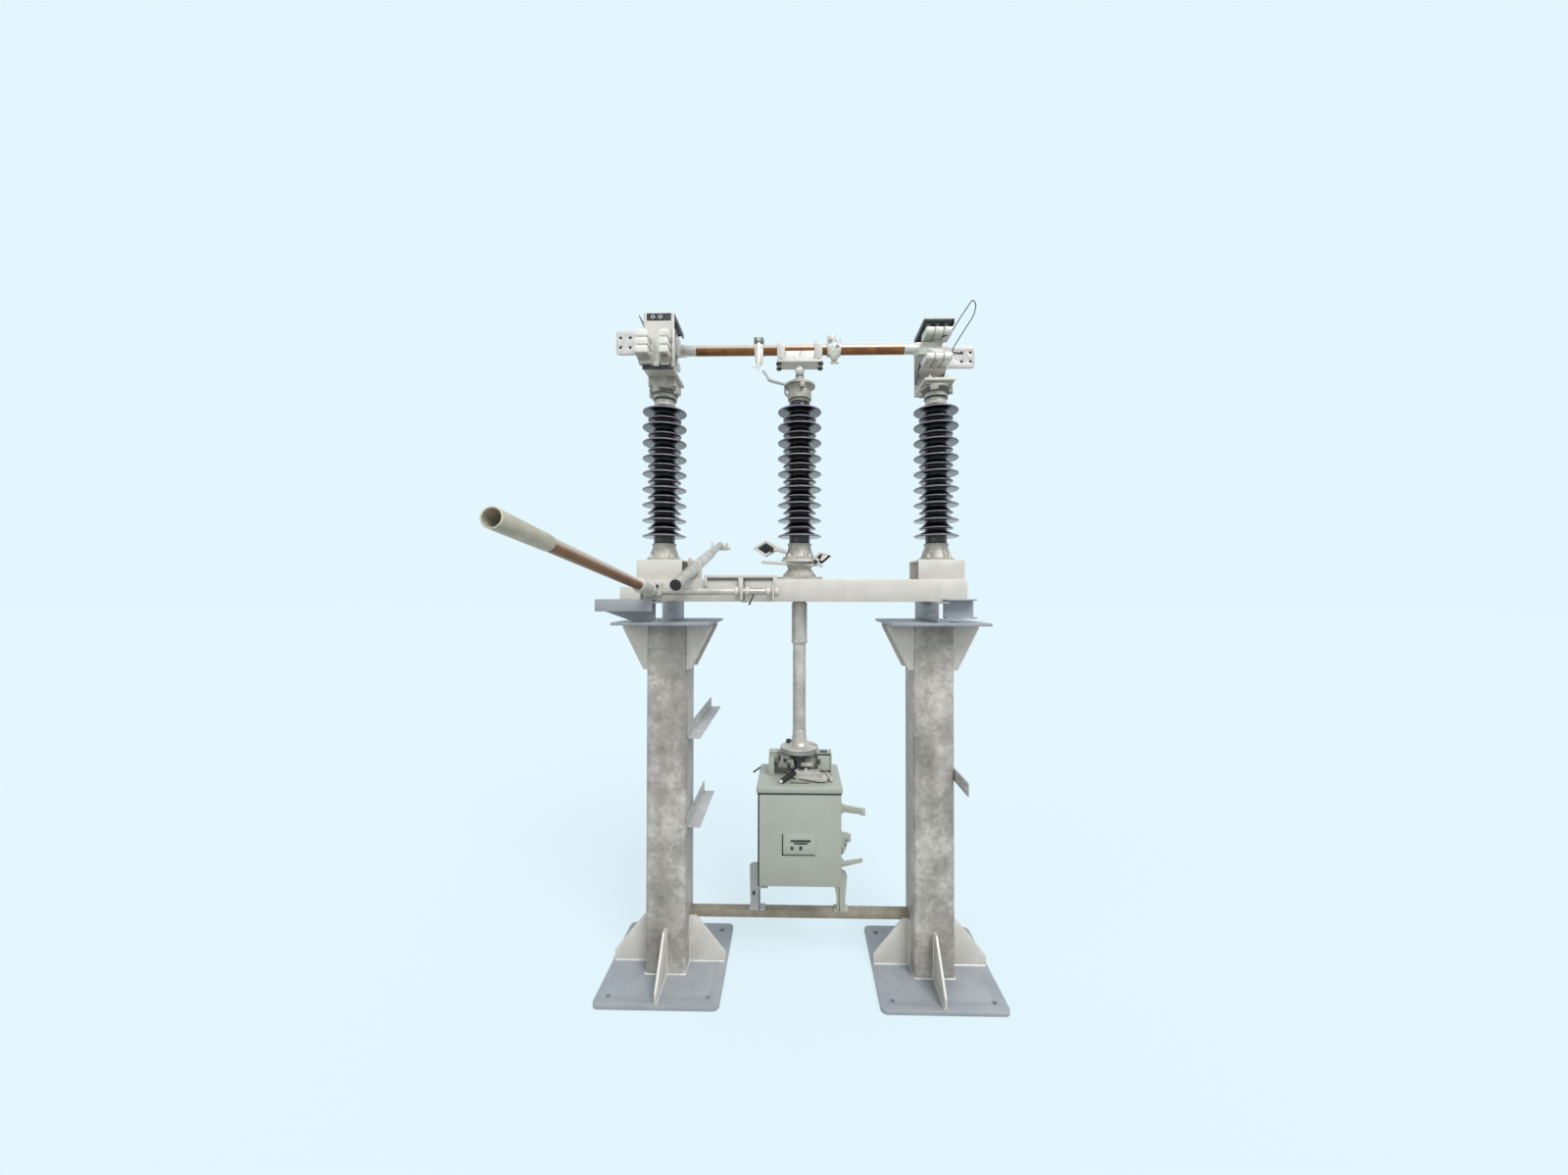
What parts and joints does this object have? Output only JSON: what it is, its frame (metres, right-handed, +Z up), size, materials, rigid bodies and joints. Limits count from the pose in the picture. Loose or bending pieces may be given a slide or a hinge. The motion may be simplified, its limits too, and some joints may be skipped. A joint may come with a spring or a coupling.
{
  "type": "centre-rotating substation disconnect switch with earthing blade",
  "caption": "Outdoor disconnect switch: a turning centre post swings a copper tube blade out of two end jaws; a hinged earthing blade and an operating box on steel pedestals",
  "frame": {"origin": "centre of the left pedestal's anchor bolt pattern, on the underside of its base plate, at ground level", "axes": "+X runs along the beam from the left post to the right post; +Y points to the back, away from the operating box's nameplate; +Z is up"},
  "size_m": [1.65, 2.0287, 2.812],
  "materials": {
    "galvanised": "hot-dip galvanised, mottled matt",
    "box_paint": "grey-green semi-gloss paint",
    "brown_glaze": "dark brown gloss glaze",
    "cast_cap": "cast, matt",
    "copper": "bare copper, dulled brown",
    "silvered": "silver-plated contact metal, satin",
    "dark_steel": "bare and shaded steel, matt",
    "plate": "blank plate, satin",
    "grip": "black grip"
  },
  "bodies": {
    "frame": {"base_beam": "galvanised", "base_gussets": "galvanised", "box_housing": "box_paint", "box_legs": "box_paint", "box_lid": "box_paint", "cap_gussets": "galvanised", "cap_plates": "galvanised", "centre_bearing": "galvanised", "column_lug": "galvanised", "cross_bar": "galvanised", "earthing_contact": "silvered", "interlock_lever": "dark_steel", "left_base_plate": "galvanised", "left_cap": "cast_cap", "left_column": "galvanised", "left_cross_channel": "galvanised", "left_fingers": "silvered", "left_foot": "galvanised", "left_insulator": "brown_glaze", "left_jaw_frame": "galvanised", "left_terminal_pad": "galvanised", "lever_grip": "grip", "linkage_clamp": "galvanised", "linkage_tube": "galvanised", "mechanism_rails": "galvanised", "nameplate": "plate", "output_bracket": "box_paint", "pedestal_boxes": "galvanised", "right_base_plate": "galvanised", "right_cap": "cast_cap", "right_column": "galvanised", "right_cross_channel": "galvanised", "right_fingers": "silvered", "right_foot": "galvanised", "right_insulator": "brown_glaze", "right_jaw_frame": "galvanised", "right_outrigger": "galvanised", "right_terminal_pad": "galvanised", "shaft_bearings": "galvanised", "shaft_outrigger": "galvanised", "side_levers": "box_paint"},
    "centre_post": {"turning_lever": "galvanised", "centre_foot": "galvanised", "centre_insulator": "brown_glaze", "centre_cap": "cast_cap", "blade_bracket": "galvanised", "blade_straps": "galvanised", "blade_tube": "copper", "blade_ends": "silvered", "blade_clamps": "silvered", "crank_arm": "dark_steel", "drive_pipe": "galvanised", "pipe_couplings": "galvanised", "output_shaft": "dark_steel"},
    "earthing_blade": {"earthing_shaft": "galvanised", "earthing_root": "galvanised", "earthing_tube": "copper", "earthing_sleeve": "silvered"}
  },
  "joints": [
    {"name": "main_blade_turn", "type": "hinge", "parent": "frame", "child": "centre_post", "pos_m": [0.566, 0, 1.7], "axis": [0, 0, -1], "range_deg": [0, 70]},
    {"name": "earthing_blade_swing", "type": "hinge", "parent": "frame", "child": "earthing_blade", "pos_m": [-0.034, -0.165, 1.634], "axis": [-1, 0, 0], "range_deg": [0, 83]}
  ]
}
